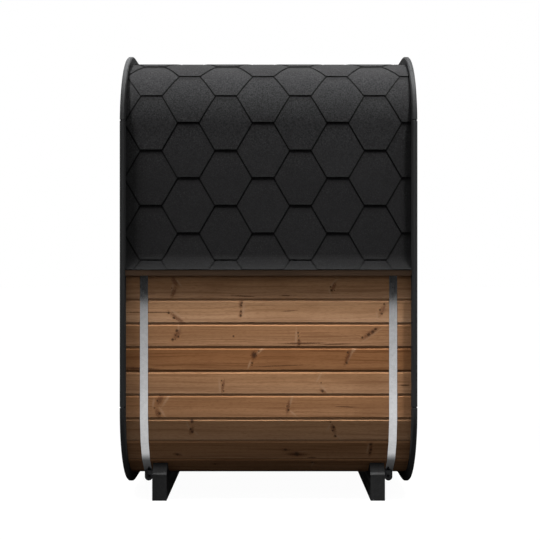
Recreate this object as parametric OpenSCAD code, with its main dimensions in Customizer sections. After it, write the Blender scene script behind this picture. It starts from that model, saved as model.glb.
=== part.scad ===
// Cube sauna: a short stave-built cabin with rounded corners, between two dark end rings.
// Millimetres. X runs from ring to ring, Y across the cabin, Z up.
// The origin is at the middle of the two feet, on the ground. The door end is at +X.

/* [Boards] */
// Width that one wall board covers
board_cover = 115.8; // [90:0.1:140]
// Thickness of the wall, floor and ceiling boards
board_t = 42; // [28:1:60]
// Whole boards in each side wall
side_boards = 12; // [8:1:16]
// Width of the narrow board that closes each side wall, under the roof covering
closing_board = 76.4; // [40:0.1:115]
// Boards in the floor, and in the ceiling
floor_boards = 12; // [8:1:18]
// Lean of the first corner board from upright, next to the side wall
corner_angle_1 = 12.2; // [8:0.1:16]
// Lean of the second corner board
corner_angle_2 = 30; // [24:0.5:36]
// Lean of the third corner board
corner_angle_3 = 53; // [46:0.5:60]
// Lean of the fourth corner board, next to the floor or ceiling
corner_angle_4 = 75; // [70:0.5:82]
// Seam between two corner boards
seam = 0.4; // [0.2:0.1:1]

/* [End rings] */
// Length over the two end rings
length = 1440; // [1200:10:2400]
// Thickness of a ring board
ring_t = 25; // [18:1:40]
// Width of a ring board, from its outer to its inner edge
ring_w = 120; // [90:1:160]
// How far the ring stands out from the side walls
ring_side_proud = 46; // [35:1:60]
// How far the ring stands out below the floor and above the ceiling
ring_end_proud = 53.8; // [40:0.1:70]
// Outer radius of the ring's corners
ring_corner_r = 407; // [350:1:450]
// Height of each side joint above the start of the corner curve
ring_joint_shift = 24; // [0:1:60]
// Open joint between two ring boards
ring_joint = 0.6; // [0.3:0.1:2]

/* [Feet] */
// Height of the floor's underside above the ground
floor_height = 98.8; // [90:0.1:160]
// Width of a foot beam
foot_w = 72; // [45:1:100]
// Distance from a strap's inner edge to the outer face of the foot beside it
foot_clearance = 12.9; // [8:0.1:150]
// How far the foot's nose lies behind the side wall's face
foot_setback = 55; // [30:1:120]
// Upright height of the foot's nose
foot_nose = 128; // [110:1:150]
// Rise of the bevel above the nose
foot_bevel = 60; // [50:1:80]

/* [Roof] */
// Thickness of the roof covering
covering_t = 7; // [4:0.5:14]
// Height of the drip batten's underside above the lowest side seam
batten_rise = 700; // [400:1:1000]
// Height of the drip batten's front face
batten_h = 30; // [20:1:50]
// How far the drip batten stands out from the side wall
batten_out = 28; // [15:1:34]
// Height of the drip batten's sloping top, above its front face
batten_top_h = 35; // [20:1:60]

/* [Straps] */
// Width of a steel strap
strap_w = 40; // [25:1:60]
// Thickness of a steel strap
strap_t = 1.5; // [1:0.1:3]
// Distance from the boards' ends to a strap's centre line
strap_inset = 87.6; // [75:0.1:140]
// Play round a strap where it runs under the batten and covering
strap_play = 0.3; // [0.2:0.1:1]
// How far the strap's ear lies behind the side wall's face
ear_setback = 193; // [160:1:240]
// Thickness of the ear
ear_t = 4; // [3:0.5:8]
// Distance from the board's face down to the tension rod
ear_drop = 32; // [30:1:40]
// Diameter of the tension rod
rod_d = 10; // [6:0.5:12]
// Radial play of the rod in the ear
rod_play = 0.4; // [0.2:0.1:1]
// Length of rod that stands out past each ear
rod_end = 18; // [12:1:30]
// Diameter of the washers
washer_d = 24; // [18:1:30]
// Thickness of the washers
washer_t = 2; // [1:0.5:4]
// Width of the nuts across their corners
nut_d = 19; // [14:0.5:22]
// Thickness of the nuts
nut_t = 8; // [5:0.5:10]

/* [End walls and door] */
// Thickness of the end walls
end_wall_t = 42; // [28:1:60]
// Clear width of the door frame
door_w = 680; // [560:10:800]
// Height of the wall left between the door frame and the ceiling
over_door_h = 138.3; // [80:0.1:400]
// Width of the door frame's boards
frame_w = 45; // [30:1:70]
// Depth of the door frame
frame_depth = 58; // [44:1:80]
// Gap round the door leaf
leaf_gap = 3; // [2:0.5:6]
// Thickness of the door leaf
leaf_t = 40; // [30:1:44]
// Width of the door leaf's stiles and rails
stile_w = 95; // [70:1:140]
// Thickness of the door glass
glass_t = 8; // [4:1:12]
// Depth of the groove that holds the glass
glass_groove = 12; // [8:1:20]
// Play round the glass in its groove
glass_play = 0.3; // [0.2:0.1:1]
// Thickness of the handle bars
handle_t = 28; // [20:1:40]
// Length of the handle bars
handle_l = 420; // [200:10:600]
// Clear space between the door leaf and a handle bar
handle_gap = 40; // [30:1:60]
// Diameter of the handle's pegs
peg_d = 16; // [10:1:24]
// Height of the handle's middle above the floor
handle_z = 950; // [800:10:1100]
// Height of a hinge
hinge_h = 100; // [70:5:140]
// Diameter of a hinge's knuckle
knuckle_d = 14; // [10:1:20]
// Width of a hinge's leaf on each side of the knuckle
hinge_wing = 34; // [20:1:40]
// Thickness of a hinge's leaf
hinge_t = 2.5; // [2:0.5:4]
// Height of the lower hinge's middle above the leaf's lower edge
hinge_inset = 220; // [120:10:400]

/* [Hidden] */
$fn = 96;

timber = "#85654a";
dark_timber = "#2a2b2d";
shingle_black = "#26282a";
steel = "#b9b9b9";

// Cross-section: the corner is a chain of equal boards, each leaning further than the last.
corner_angles = [corner_angle_1, corner_angle_2, corner_angle_3, corner_angle_4];
corners = len(corner_angles);
function total(values, count) = count <= 0 ? 0 : values[count - 1] + total(values, count - 1);
corner_in = [for (i = [0:corners]) board_cover * total([for (a = corner_angles) sin(a)], i)];
corner_down = [for (i = [0:corners]) board_cover * total([for (a = corner_angles) cos(a)], i)];
corner_reach = corner_in[corners];
corner_height = corner_down[corners];

body_w = floor_boards * board_cover + 2 * corner_reach;
side_h = side_boards * board_cover + closing_board;
body_h = side_h + 2 * corner_height;
side_y = body_w / 2;
mid_z = floor_height + body_h / 2;
low_seam_z = floor_height + corner_height;
body_l = length - 2 * ring_t;
strap_x = body_l / 2 - strap_inset;
foot_reach = strap_x - strap_w / 2 - foot_clearance;

// One quarter of the outline, from the side wall (index 0) to the floor or ceiling.
quarter = [for (i = [0:corners]) [side_y - corner_in[i], body_h / 2 - corner_height + corner_down[i]]];
function flip(points) = [for (i = [len(points) - 1:-1:0]) points[i]];
function placed(points, sy, sz) = [for (p = points) [sy * p.x, mid_z + sz * p.y]];
section = concat(
    placed(quarter, -1, -1), flip(placed(quarter, 1, -1)),
    placed(quarter, 1, 1), flip(placed(quarter, -1, 1)));

// Index of the first point of each quarter in the closed outline.
lower_left = 0;
lower_right = corners + 1;
upper_right = 2 * corners + 2;
upper_left = 3 * corners + 3;
last = len(section) - 1;

function unit(v) = v / norm(v);
function outward(a, b) = unit([b.y - a.y, a.x - b.x]);
function mitre(n, m) = (n + m) / (1 + n * m);
function wrap(points, i) = points[(i + len(points)) % len(points)];
// The closed outline moved outwards by d.
function grown(points, d) = [for (i = [0:len(points) - 1])
    points[i] + d * mitre(outward(wrap(points, i - 1), points[i]), outward(points[i], wrap(points, i + 1)))];
// An open path moved to its right-hand side by d.
function beside(path, d) = [for (i = [0:len(path) - 1])
    let (here = i < len(path) - 1 ? outward(path[i], path[i + 1]) : outward(path[i - 1], path[i]),
         before = i > 0 ? outward(path[i - 1], path[i]) : here)
    path[i] + d * mitre(before, here)];

inner = grown(section, -board_t);
floor_top = floor_height + board_t;
ceiling_z = floor_height + body_h - board_t;

// Draws a Y-Z outline and extrudes it along X between two places.
module along_x(x0, x1) {
    translate([x0, 0, 0]) rotate([90, 0, 90]) linear_extrude(x1 - x0) children();
}

// One board or run of boards, between two points of the outline.
module shell(i, j) {
    along_x(-body_l / 2, body_l / 2) polygon([section[i], section[j], inner[j], inner[i]]);
}

module corner_boards(first) {
    for (i = [first:first + corners - 1]) {
        run = seam / 2 * unit(section[i + 1] - section[i]);
        along_x(-body_l / 2, body_l / 2)
            polygon([section[i] + run, section[i + 1] - run, inner[i + 1] - run, inner[i] + run]);
    }
}

module left_wall() { color(timber) shell(last, lower_left); }
module right_wall() { color(timber) shell(upper_right - 1, upper_right); }
module floor_boarding() { color(timber) shell(lower_right - 1, lower_right); }
module ceiling() { color(timber) shell(upper_left - 1, upper_left); }

// End walls stand inside the shell, centred under the straps.
wall_out = strap_x + end_wall_t / 2;
wall_in = strap_x - end_wall_t / 2;
doorway_y = door_w / 2 + frame_w;
door_low = floor_top + frame_w;
doorway_top = ceiling_z - over_door_h;
door_top = doorway_top - frame_w;
door_h = door_top - door_low;
leaf_x0 = strap_x - leaf_t / 2;
leaf_x1 = strap_x + leaf_t / 2;

module rear_wall() {
    color(timber) along_x(-wall_out, -wall_in) polygon(inner);
}

module front_wall_side(side) {
    color(timber) along_x(wall_in, wall_out) intersection() {
        polygon(inner);
        translate([side > 0 ? doorway_y : -side_y - doorway_y, 0]) square([side_y, 2 * body_h]);
    }
}

module front_wall_over_door() {
    color(timber) translate([wall_in, -doorway_y, doorway_top])
        cube([end_wall_t, 2 * doorway_y, ceiling_z - doorway_top]);
}

module door_jamb(side) {
    color(timber) translate([strap_x - frame_depth / 2, side > 0 ? door_w / 2 : -doorway_y, door_low])
        cube([frame_depth, frame_w, door_h]);
}

module frame_rail(z) {
    color(timber) translate([strap_x - frame_depth / 2, -doorway_y, z])
        cube([frame_depth, 2 * doorway_y, frame_w]);
}

leaf_y = door_w / 2 - leaf_gap;
leaf_low = door_low + leaf_gap;
leaf_top = door_top - leaf_gap;
pane_y = leaf_y - stile_w;
pane_low = leaf_low + stile_w;
pane_top = leaf_top - stile_w;

module door_leaf() {
    color(timber) difference() {
        translate([leaf_x0, -leaf_y, leaf_low]) cube([leaf_t, 2 * leaf_y, leaf_top - leaf_low]);
        translate([leaf_x0 - 1, -pane_y, pane_low]) cube([leaf_t + 2, 2 * pane_y, pane_top - pane_low]);
        translate([strap_x - glass_t / 2 - glass_play, -pane_y - glass_groove, pane_low - glass_groove])
            cube([glass_t + 2 * glass_play, 2 * (pane_y + glass_groove), pane_top - pane_low + 2 * glass_groove]);
        door_pegs(leaf_t + 2, 0);
    }
}

module door_glass() {
    edge = glass_groove - glass_play;
    color("#8a7a68") translate([strap_x - glass_t / 2, -pane_y - edge, pane_low - edge])
        cube([glass_t, 2 * (pane_y + edge), pane_top - pane_low + 2 * edge]);
}

peg_y = -leaf_y + stile_w / 2;
peg_apart = handle_l * 0.6;

// The two pegs that run through the leaf and hold both handle bars.
module door_pegs(run, play) {
    for (s = [-1, 1])
        translate([strap_x - run / 2, peg_y, floor_top + handle_z + s * peg_apart / 2])
            rotate([0, 90, 0]) cylinder(d = peg_d + 2 * play, h = run);
}

module door_handle() {
    bar_x = leaf_t / 2 + handle_gap;
    color(timber) union() {
        door_pegs(2 * bar_x + handle_t, 0);
        for (s = [-1, 1])
            translate([strap_x + s * (bar_x + handle_t / 2) - handle_t / 2, peg_y - handle_t / 2,
                       floor_top + handle_z - handle_l / 2])
                cube([handle_t, handle_t, handle_l]);
    }
}

// Surface hinges on the door's outer face, with the knuckle over the gap.
module door_hinges() {
    gap_y = door_w / 2 - leaf_gap / 2;
    plate_x = strap_x + frame_depth / 2;
    for (z = [leaf_low + hinge_inset, leaf_top - hinge_inset])
        color(steel) union() {
            translate([plate_x + knuckle_d / 2, gap_y, z - hinge_h / 2]) cylinder(d = knuckle_d, h = hinge_h);
            translate([plate_x, gap_y, z - hinge_h / 2]) cube([hinge_t, hinge_wing, hinge_h]);
            translate([leaf_x1, gap_y - hinge_wing, z - hinge_h / 2])
                cube([hinge_t, hinge_wing - leaf_gap, hinge_h]);
            translate([leaf_x1, gap_y - 2 * leaf_gap, z - hinge_h / 2])
                cube([plate_x - leaf_x1 + hinge_t, leaf_gap, hinge_h]);
            translate([plate_x, gap_y - 2 * leaf_gap, z - hinge_h / 2]) cube([hinge_t, 2 * leaf_gap, hinge_h]);
        }
}

// End rings: flat boards cut to a rounded rectangle that stands proud of the shell.
ring_y = side_y + ring_side_proud;
ring_z = body_h / 2 + ring_end_proud;
curve_y = ring_y - ring_corner_r;
curve_z = ring_z - ring_corner_r;
far = 2 * (ring_y + ring_z);

module rounded(half_w, half_h, r) {
    translate([-half_w, -half_h + r]) square([2 * half_w, 2 * (half_h - r)]);
    translate([-half_w + r, -half_h]) square([2 * (half_w - r), 2 * half_h]);
    for (sy = [-1, 1], sz = [-1, 1]) translate([sy * (half_w - r), sz * (half_h - r)]) circle(r);
}

module ring_outline() {
    difference() {
        rounded(ring_y, ring_z, ring_corner_r);
        rounded(ring_y - ring_w, ring_z - ring_w, ring_corner_r - ring_w);
    }
}

// Everything to the left of the line that leaves a point at an angle, short of half a joint.
module left_of(point, angle) {
    translate(point) rotate(angle) translate([-far, ring_joint / 2]) square([2 * far, far]);
}

// The part of the ring between two cuts, each a point and an angle, drawn about the ring's centre.
module ring_board(end, from, to) {
    x0 = end > 0 ? length / 2 - ring_t : -length / 2;
    color(dark_timber) translate([0, 0, mid_z]) along_x(x0, x0 + ring_t) intersection() {
        ring_outline();
        left_of(from[0], from[1]);
        left_of(to[0], to[1] + 180);
    }
}

// The side joints are level, and a mitre halves each corner.
low_joint = -curve_z + ring_joint_shift;
high_joint = curve_z + ring_joint_shift;
mitre_up = 45;

module ring_side(end, side) {
    x0 = end > 0 ? length / 2 - ring_t : -length / 2;
    color(dark_timber) translate([0, 0, mid_z]) along_x(x0, x0 + ring_t) intersection() {
        ring_outline();
        translate([side > 0 ? 0 : -far, low_joint + ring_joint / 2])
            square([far, high_joint - low_joint - ring_joint]);
    }
}

module ring_level(end, up) {
    x0 = end > 0 ? length / 2 - ring_t : -length / 2;
    color(dark_timber) translate([0, 0, mid_z]) along_x(x0, x0 + ring_t) intersection() {
        ring_outline();
        translate([-curve_y + ring_joint / 2, up > 0 ? 0 : -far]) square([2 * curve_y - ring_joint, far]);
    }
}

module ring_lower_corners(end) {
    ring_board(end, [[0, low_joint], 180], [[-curve_y, -curve_z], 180 + mitre_up]);
    ring_board(end, [[-curve_y, -curve_z], 180 + mitre_up], [[-curve_y, 0], 270]);
    ring_board(end, [[curve_y, 0], 270], [[curve_y, -curve_z], -mitre_up]);
    ring_board(end, [[curve_y, -curve_z], -mitre_up], [[0, low_joint], 0]);
}

module ring_upper_corners(end) {
    ring_board(end, [[0, high_joint], 0], [[curve_y, curve_z], mitre_up]);
    ring_board(end, [[curve_y, curve_z], mitre_up], [[curve_y, 0], 90]);
    ring_board(end, [[-curve_y, 0], 90], [[-curve_y, curve_z], 180 - mitre_up]);
    ring_board(end, [[-curve_y, curve_z], 180 - mitre_up], [[0, high_joint], 180]);
}

// Feet: beams across the cabin, cut to the shell's underside, with bevelled noses.
module foot(end) {
    nose_y = side_y - foot_setback;
    x0 = end > 0 ? foot_reach - foot_w : -foot_reach;
    color(dark_timber) along_x(x0, x0 + foot_w) difference() {
        polygon([
            [-nose_y, 0], [nose_y, 0], [nose_y, foot_nose], [nose_y - foot_bevel, foot_nose + foot_bevel],
            [-nose_y + foot_bevel, foot_nose + foot_bevel], [-nose_y, foot_nose]]);
        polygon(section);
    }
}

// Straps: a band round the whole shell, open under the floor between its two ears.
function at_setback(a, b, y) = a + (b - a) * (y - a.x) / (b.x - a.x);
ear_y = side_y - ear_setback;
ear_left = at_setback(section[lower_left + corners - 1], section[lower_left + corners], -ear_y);
ear_right = [ear_y, ear_left.y];
strap_path = concat(
    [ear_right], [for (i = [lower_right + 1:last]) section[i]],
    [for (i = [0:corners - 1]) section[i]], [ear_left]);
rod_z = ear_left.y - ear_drop;

module band(thickness) {
    polygon(concat(beside(strap_path, thickness), flip(strap_path)));
}

module strap(end) {
    x = end * strap_x;
    color(steel) union() {
        along_x(x - strap_w / 2, x + strap_w / 2) band(strap_t);
        for (side = [-1, 1]) difference() {
            union() {
                translate([x - strap_w / 2, side * ear_y - ear_t / 2, rod_z])
                    cube([strap_w, ear_t, ear_drop - strap_t / 4]);
                translate([x, side * ear_y + ear_t / 2, rod_z]) rotate([90, 0, 0])
                    cylinder(d = strap_w, h = ear_t);
            }
            translate([x, side * ear_y + ear_t, rod_z]) rotate([90, 0, 0])
                cylinder(d = rod_d + 2 * rod_play, h = 2 * ear_t);
            along_x(x - strap_w, x + strap_w) polygon(section);
        }
    }
}

module strap_channels() {
    for (end = [-1, 1])
        along_x(end * strap_x - strap_w / 2 - strap_play, end * strap_x + strap_w / 2 + strap_play)
            polygon(concat(beside(strap_path, strap_t + strap_play), flip(beside(strap_path, -1))));
}

module tension_rods() {
    reach = ear_y + ear_t / 2;
    for (end = [-1, 1]) color(steel) translate([end * strap_x, 0, rod_z]) union() {
        translate([0, reach + rod_end, 0]) rotate([90, 0, 0]) cylinder(d = rod_d, h = 2 * (reach + rod_end));
        for (side = [-1, 1]) {
            translate([0, side > 0 ? reach + washer_t : -reach, 0]) rotate([90, 0, 0])
                cylinder(d = washer_d, h = washer_t);
            translate([0, side > 0 ? reach + washer_t + nut_t : -reach - washer_t, 0]) rotate([90, 0, 0])
                cylinder(d = nut_d, h = nut_t, $fn = 6);
        }
    }
}

// Roof: drip battens on the side walls, and a covering that flares out over them.
batten_z = low_seam_z + batten_rise;
batten_top = batten_z + batten_h;
flare_z = batten_top + batten_top_h;
roof_path = concat(
    [[side_y + batten_out, batten_top], [side_y, flare_z]],
    [for (i = [upper_right:last]) section[i]],
    [[-side_y, flare_z], [-side_y - batten_out, batten_top]]);
roof_last = len(roof_path) - 1;

module drip_battens() {
    color(timber) for (side = [-1, 1]) difference() {
        along_x(-body_l / 2, body_l / 2) polygon([
            [side * side_y, batten_z], [side * (side_y + batten_out), batten_z],
            [side * (side_y + batten_out), batten_top], [side * side_y, flare_z]]);
        strap_channels();
    }
}

// The stretch of covering between two points of the roof's path.
module covering(i, j) {
    skin = beside(roof_path, covering_t);
    color(shingle_black) difference() {
        along_x(-body_l / 2, body_l / 2) polygon(concat(
            [for (k = [i:j]) skin[k]], [for (k = [j:-1:i]) roof_path[k]]));
        strap_channels();
    }
}

left_wall();
right_wall();
floor_boarding();  // floor
ceiling();
color(timber) corner_boards(lower_left);  // lower_left_corner
color(timber) corner_boards(lower_right);  // lower_right_corner
color(timber) corner_boards(upper_right);  // upper_right_corner
color(timber) corner_boards(upper_left);  // upper_left_corner
rear_wall();
front_wall_side(-1);  // front_wall_left
front_wall_side(1);  // front_wall_right
front_wall_over_door();
door_jamb(-1);  // door_jamb_left
door_jamb(1);  // door_jamb_right
frame_rail(door_top);  // door_head
frame_rail(floor_top);  // door_sill
door_leaf();
door_glass();
door_handle();
door_hinges();
ring_side(1, -1);  // front_ring_left
ring_side(1, 1);  // front_ring_right
ring_level(1, 1);  // front_ring_top
ring_level(1, -1);  // front_ring_bottom
ring_upper_corners(1);  // front_ring_upper_corners
ring_lower_corners(1);  // front_ring_lower_corners
ring_side(-1, -1);  // rear_ring_left
ring_side(-1, 1);  // rear_ring_right
ring_level(-1, 1);  // rear_ring_top
ring_level(-1, -1);  // rear_ring_bottom
ring_upper_corners(-1);  // rear_ring_upper_corners
ring_lower_corners(-1);  // rear_ring_lower_corners
foot(1);  // front_foot
foot(-1);  // rear_foot
strap(1);  // front_strap
strap(-1);  // rear_strap
tension_rods();
drip_battens();
covering(0, 2);  // roof_right_side
covering(2, 2 + corners);  // roof_right_corner
covering(2 + corners, 3 + corners);  // roof_top
covering(3 + corners, roof_last - 2);  // roof_left_corner
covering(roof_last - 2, roof_last);  // roof_left_side
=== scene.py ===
import math
import random

import bmesh
import bpy
from mathutils import Matrix, Vector


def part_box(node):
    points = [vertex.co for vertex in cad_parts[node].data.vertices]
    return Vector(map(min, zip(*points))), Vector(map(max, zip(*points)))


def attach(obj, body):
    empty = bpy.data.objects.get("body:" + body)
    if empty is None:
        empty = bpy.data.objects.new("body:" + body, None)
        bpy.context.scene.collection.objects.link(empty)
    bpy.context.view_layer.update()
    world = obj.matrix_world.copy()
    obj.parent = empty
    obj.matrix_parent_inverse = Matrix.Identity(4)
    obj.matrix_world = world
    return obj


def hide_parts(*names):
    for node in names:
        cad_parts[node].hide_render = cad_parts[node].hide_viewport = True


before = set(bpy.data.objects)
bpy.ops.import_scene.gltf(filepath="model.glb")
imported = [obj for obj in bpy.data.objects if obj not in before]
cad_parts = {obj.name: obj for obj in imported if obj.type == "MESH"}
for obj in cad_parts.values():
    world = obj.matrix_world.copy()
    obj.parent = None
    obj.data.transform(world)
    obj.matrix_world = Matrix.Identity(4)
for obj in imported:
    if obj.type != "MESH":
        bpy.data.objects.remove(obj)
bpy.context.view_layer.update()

# --- sizes, in metres
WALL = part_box("left_wall")
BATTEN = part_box("drip_battens")
REAR_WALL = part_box("rear_wall")
OVER_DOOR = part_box("front_wall_over_door")
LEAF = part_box("door_leaf")
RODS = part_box("tension_rods")

BODY_X = WALL[1].x  # half the length of the boards
SIDE_Y = -WALL[0].y  # outer face of the side walls
BOARD_T = WALL[1].y - WALL[0].y
LOW_SEAM = WALL[0].z
HIGH_SEAM = WALL[1].z
FLOOR_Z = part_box("floor")[0].z
TOP_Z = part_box("ceiling")[1].z
MID_Z = (FLOOR_Z + TOP_Z) / 2
COVER = 0.1158  # what one board covers
LEANS = (12.2, 30.0, 53.0, 75.0)  # lean of the corner boards, in degrees
GAP = 0.00005  # half the gap between two boards
GROOVE_H = 0.0095  # half the height of a V-groove
GROOVE_D = 0.0050  # depth of a V-groove
NEAR = 1e-5  # closer than this is the same place


# --- nodes and materials
def rgb(colour, by=1.0):
    """A colour with its alpha, times one number or one for each channel."""
    by = by if isinstance(by, tuple) else (by, by, by)
    return tuple(c * k for c, k in zip(colour, by)) + (1.0,)


def grey(level):
    return (level, level, level, 1.0)


class Finish:
    """A material, or the world, and short ways to add its nodes."""

    def __init__(self, name, world=False):
        self.material = (bpy.data.worlds if world else bpy.data.materials).new(name)
        self.material.use_nodes = True
        self.tree = self.material.node_tree
        self.tree.nodes.clear()
        self.out = self.tree.nodes.new("ShaderNodeOutputWorld" if world else "ShaderNodeOutputMaterial")

    def node(self, kind, inputs=None, **settings):
        n = self.tree.nodes.new(kind)
        for key, value in settings.items():
            setattr(n, key, value)
        for key, value in (inputs or {}).items():
            if isinstance(value, bpy.types.NodeSocket):
                self.tree.links.new(value, n.inputs[key])
            else:
                n.inputs[key].default_value = value
        return n

    def math(self, operation, a, b=0.0):
        return self.node("ShaderNodeMath", {0: a, 1: b}, operation=operation).outputs[0]

    def times(self, a, b):
        return self.math("MULTIPLY", a, b)

    def plus(self, a, b):
        return self.math("ADD", a, b)

    def noise(self, vector, scale=1.0, detail=3.0, rough=0.5):
        return self.node("ShaderNodeTexNoise", {
            "Vector": vector, "Scale": scale, "Detail": detail, "Roughness": rough}).outputs["Fac"]

    def span(self, value, low, high, to_low=0.0, to_high=1.0):
        return self.node("ShaderNodeMapRange", {
            "Value": value, "From Min": low, "From Max": high,
            "To Min": to_low, "To Max": to_high}, interpolation_type="SMOOTHSTEP").outputs[0]

    def mix(self, fac, a, b, blend="MIX"):
        n = self.node("ShaderNodeMix", {0: fac, 6: a, 7: b}, data_type="RGBA", blend_type=blend)
        return n.outputs[2]

    def tint(self, colour, red, green, blue):
        return self.mix(1.0, colour, (red, green, blue, 1.0), "MULTIPLY")

    def stretched(self, vector, by):
        return self.node("ShaderNodeVectorMath", {0: vector, 1: by}, operation="MULTIPLY").outputs[0]

    def length(self, vector):
        return self.node("ShaderNodeVectorMath", {0: vector}, operation="LENGTH").outputs["Value"]

    def split(self, vector):
        return self.node("ShaderNodeSeparateXYZ", {0: vector}).outputs

    def place(self):
        return self.node("ShaderNodeTexCoord").outputs["Object"]

    def sheet(self, name="grain"):
        return self.node("ShaderNodeUVMap", uv_map=name).outputs[0]

    def tone(self):
        return self.node("ShaderNodeAttribute", attribute_name="tone").outputs["Fac"]

    def bump(self, height, strength, distance):
        return self.node("ShaderNodeBump", {
            "Height": height, "Strength": strength, "Distance": distance}).outputs[0]

    def emission(self, strength):
        return self.node("ShaderNodeEmission", {"Color": grey(1.0), "Strength": strength}).outputs[0]

    def close(self, shader):
        self.tree.links.new(shader, self.out.inputs[0])
        return self.material

    def principled(self, **inputs):
        named = {key.replace("_", " "): value for key, value in inputs.items()}
        return self.close(self.node("ShaderNodeBsdfPrincipled", named).outputs[0])


# Knots: row of the timber sheet, place along and across the board and radius, in millimetres.
KNOTS = (
    (0, -543, 31, 5), (0, -530, 57, 4), (0, -556, -4, 4), (0, -531, -31, 7), (0, 90, 5, 4), (0, 97, -14, 6),
    (1, -229, 13, 4), (1, -224, -8, 4), (1, -219, -37, 4), (1, 256, 3, 4), (1, 263, -38, 6),
    (2, -70, 22, 13), (2, -48, 42, 4), (2, -80, -16, 6), (2, -81, -28, 3), (2, 381, -16, 6),
    (2, 386, 36, 5), (3, -448, 26, 7), (3, -454, 4, 4), (3, -440, -4, 6), (3, -468, -18, 7),
    (3, -455, -16, 3), (3, -171, -2, 5), (3, 144, 15, 5), (3, 146, -1, 4), (3, 147, -20, 5),
    (3, 149, -40, 5), (3, 522, 33, 7), (3, 508, 20, 8), (3, 488, 6, 8), (3, 457, -8, 5), (4, -130, 46, 6),
    (4, -134, 33, 5), (4, -134, 4, 5), (4, -136, -17, 6), (4, 564, 40, 5), (4, 543, 12, 5), (4, 552, -8, 5),
    (4, -488, -3, 6), (4, -462, -28, 7), (5, -472, 2, 3), (5, 307, -9, 6), (5, 322, -9, 3), (5, 302, 8, 4),
    (12, -373, 48, 8), (12, -380, 6, 6), (12, -373, -8, 7), (12, 302, 42, 4), (12, 319, 16, 7),
    (12, 313, -2, 5), (12, 326, -30, 7), (13, -450, -24, 6), (13, 501, 40, 8), (13, 504, 6, 6),
    (13, 500, -16, 6), (13, 83, 6, 7), (13, 139, -22, 13), (14, -267, 10, 6), (14, 216, 30, 6),
    (8, -300, 20, 9), (9, 240, -15, 10), (10, 410, 22, 8), (7, -90, -20, 9))
# Other marks: row, place along and across, length and width in millimetres, slope in degrees.
WISPS = (
    (5, -440, 30, 46, 8, 128), (5, -470, -6, 44, 8, 80), (5, 318, 28, 52, 8, 48), (5, 300, -20, 40, 7, 110),
    (4, -450, -8, 60, 9, -38), (4, -122, 14, 70, 10, 82), (4, 572, 24, 44, 8, 60),
    (4, 530, -20, 36, 7, 100), (3, 506, 6, 80, 9, 34), (3, -438, 30, 40, 8, 95), (3, 134, -8, 70, 8, 88),
    (2, -40, 44, 52, 10, 42), (2, -94, -24, 36, 8, 70), (2, 396, 16, 66, 9, 66), (2, 412, 40, 44, 8, 48),
    (1, -238, -20, 60, 8, 95), (1, 270, -26, 50, 9, -48), (1, 246, 30, 40, 8, 62),
    (0, -498, 36, 60, 10, 58), (0, -518, -24, 44, 9, -58), (0, -562, 20, 36, 8, 80),
    (0, 106, 22, 66, 9, 72), (0, 120, -30, 36, 8, -40), (12, 55, 48, 24, 9, 0), (12, 336, -28, 46, 9, -46),
    (12, 296, 20, 44, 8, 60), (12, -358, -12, 44, 8, -50), (12, -394, 26, 36, 7, 110),
    (13, -436, -20, 30, 7, -30), (13, 488, 10, 50, 8, 84), (13, 150, -8, 60, 6, 4),
    (8, -280, 10, 50, 8, 60), (9, 262, 0, 60, 8, 50), (10, 430, 6, 50, 8, 110), (7, -70, -6, 50, 8, 70),
    (14, 220, 8, 40, 7, 80))
SMUDGES = (
    (5, -458, 34, 46, 20, 118), (5, -463, -18, 50, 20, 68), (5, 318, 8, 44, 18, 70),
    (4, -446, -30, 84, 18, -36), (4, 556, 10, 60, 22, 62), (4, -136, 36, 34, 18, 90),
    (4, -136, -6, 36, 14, 84), (3, 496, 12, 90, 22, 34), (3, 148, -36, 36, 16, 80),
    (3, -446, 8, 50, 24, 60), (2, -72, 22, 40, 28, 76), (2, 386, 10, 70, 20, 70),
    (1, 264, -38, 34, 14, -30), (1, -222, -14, 56, 12, 80), (0, -530, 36, 52, 24, 66),
    (0, -540, -32, 46, 22, 112), (0, 96, 0, 66, 16, 80), (12, -374, 46, 22, 14, 90),
    (12, -376, -2, 40, 20, 70), (12, 318, 6, 50, 20, 112), (13, 139, -22, 90, 26, -3),
    (13, 83, 6, 40, 14, -6), (13, 503, 6, 76, 16, 86), (13, -450, -24, 40, 18, -10),
    (8, -300, 20, 60, 18, 70), (9, 240, -15, 60, 18, 60), (14, -267, 10, 40, 12, 0),
    (14, 216, 30, 40, 12, 0))
CRACKS = (
    (5, -117, -38, 104, 5, -3), (5, 83, -35, 46, 5, 0), (4, -597, -1, 250, 5, 0), (4, 102, 6, 60, 4, 4),
    (3, 170, -36, 190, 8, 1), (3, 330, -40, 130, 6, 2), (2, -640, -42, 150, 9, -2), (1, 664, -9, 50, 8, 0),
    (0, 380, 1, 96, 5, -2), (2, 60, -30, 220, 4, 2), (13, 215, -44, 40, 6, 0), (13, 135, -24, 70, 8, -3))
ROW = 0.2  # pitch of the rows of the timber sheet
ROWS = 16


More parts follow.
